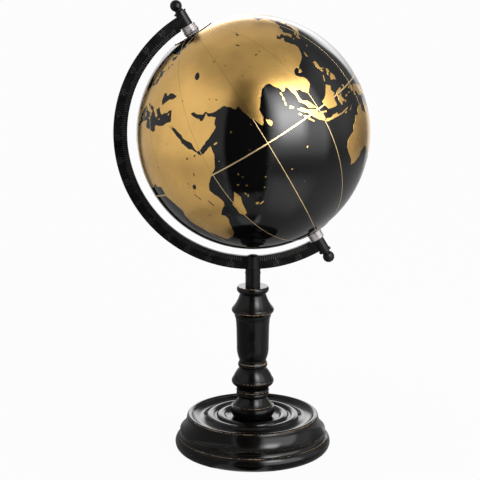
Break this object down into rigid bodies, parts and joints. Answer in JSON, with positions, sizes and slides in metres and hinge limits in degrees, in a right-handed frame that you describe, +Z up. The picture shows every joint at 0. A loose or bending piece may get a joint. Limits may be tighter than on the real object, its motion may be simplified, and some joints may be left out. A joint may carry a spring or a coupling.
{
  "type": "desktop globe on stand",
  "caption": "Desk globe with gold land on a gloss black ball, turning on a tilted axle between the ends of a half-ring arm, on a turned black stand with a round moulded base.",
  "frame": {"origin": "middle of the felt's underside, on the column's axis", "axes": "+Z up, -Y towards the viewer, and the axle leans in the XZ plane with its north end towards -X"},
  "size_m": [0.2224, 0.2024, 0.4017],
  "materials": {
    "felt": "matte felt",
    "painted_wood": "satin black paint, rubbed through to brown on the edges",
    "black_metal": "satin black",
    "plain_steel": "plain",
    "shell_plastic": "unpainted",
    "map_print": "gloss black sea with gold foil land under clear lacquer",
    "clear_plastic": "clear"
  },
  "bodies": {
    "stand": {"felt_pad": "felt", "base": "painted_wood", "column": "painted_wood", "stem_sleeve": "black_metal", "stem_bolt": "black_metal", "stem_washer": "plain_steel", "stem_nut": "plain_steel", "meridian_arm": "black_metal", "axle_rod": "plain_steel", "upper_finial": "black_metal", "lower_finial": "black_metal"},
    "globe": {"north_shell": "shell_plastic", "south_shell": "shell_plastic", "joining_band": "shell_plastic", "map_gores": "map_print", "upper_cap": "clear_plastic", "lower_cap": "clear_plastic", "upper_bushing": "clear_plastic", "lower_bushing": "clear_plastic"}
  },
  "joints": [
    {"name": "globe_spin", "type": "hinge", "parent": "stand", "child": "globe", "pos_m": [0, 0, 0.28767], "axis": [-0.518, 0, 0.8554], "continuous": true}
  ]
}
